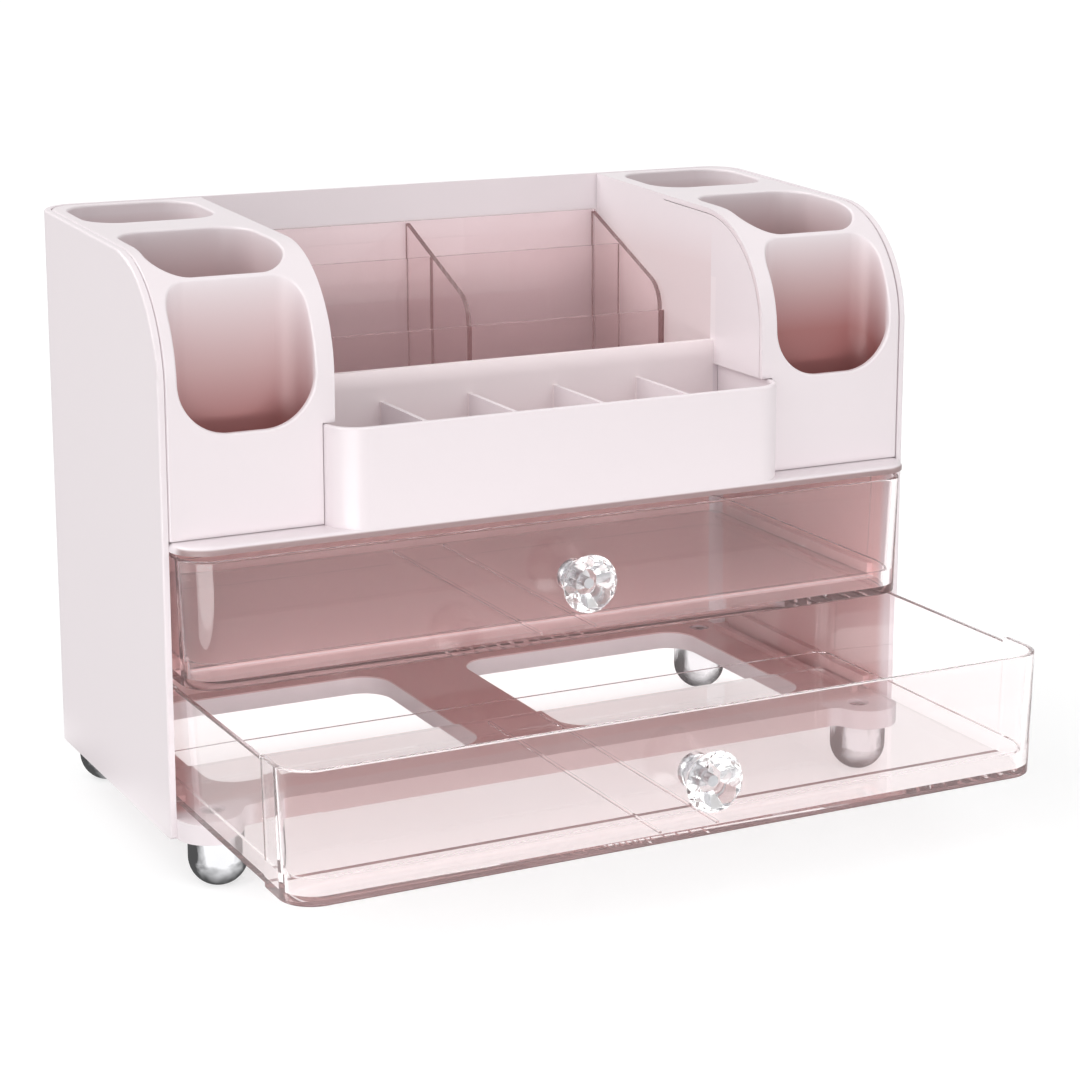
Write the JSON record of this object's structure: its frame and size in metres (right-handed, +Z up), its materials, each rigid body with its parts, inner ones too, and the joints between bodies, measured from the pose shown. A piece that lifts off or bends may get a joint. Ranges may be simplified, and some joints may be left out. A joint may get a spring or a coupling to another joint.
{
  "type": "makeup organizer",
  "caption": "Tabletop makeup organizer: pocketed towers beside a stepped bay with a clear tray and front bin, over clear drawers with faceted knobs, on domed feet.",
  "frame": {"origin": "On the surface that the feet stand on, under the middle of the box round the object at rest, with its lower drawer pulled out.", "axes": "+X to the right seen from the front, +Y to the back, +Z up. The drawers open along -Y."},
  "size_m": [0.31, 0.261, 0.2308],
  "materials": {
    "pink_plastic": "pale pink, satin gloss",
    "clear_rose_plastic": "clear plastic with a rose tint, polished",
    "crystal_plastic": "clear colourless plastic, faceted and polished",
    "chrome": "polished",
    "steel": "zinc plated"
  },
  "bodies": {
    "cabinet": {"outer_shell": "pink_plastic", "base_panel": "pink_plastic", "drawer_shelf": "pink_plastic", "top_deck": "pink_plastic", "bin_dividers": "pink_plastic", "centre_bay": "pink_plastic", "left_tower": "pink_plastic", "right_tower": "pink_plastic", "front_left_foot": "chrome", "front_right_foot": "chrome", "rear_left_foot": "chrome", "rear_right_foot": "chrome", "foot_screws": "steel"},
    "upper_drawer_body": {"upper_drawer": "clear_rose_plastic", "upper_knob_crystal": "crystal_plastic", "upper_knob_collar": "crystal_plastic", "upper_knob_screw": "steel"},
    "lower_drawer_body": {"lower_drawer": "clear_rose_plastic", "lower_knob_crystal": "crystal_plastic", "lower_knob_collar": "crystal_plastic", "lower_knob_screw": "steel"},
    "clear_tray": {"tray_floor": "clear_rose_plastic", "tray_back_panel": "clear_rose_plastic", "tray_front_panel": "clear_rose_plastic", "tray_cross_panels": "clear_rose_plastic", "tray_left_end": "clear_rose_plastic", "tray_right_end": "clear_rose_plastic", "tray_centre_divider": "clear_rose_plastic"}
  },
  "joints": [
    {"name": "upper_drawer_slide", "type": "slide", "parent": "cabinet", "child": "upper_drawer_body", "axis": [0, -1, 0], "range_m": [0, 0.126]},
    {"name": "lower_drawer_slide", "type": "slide", "parent": "cabinet", "child": "lower_drawer_body", "axis": [0, -1, 0], "range_m": [-0.091, 0.035]},
    {"name": "tray_lift", "type": "slide", "parent": "cabinet", "child": "clear_tray", "axis": [0, 0, 1], "range_m": [0, 0.12]}
  ]
}
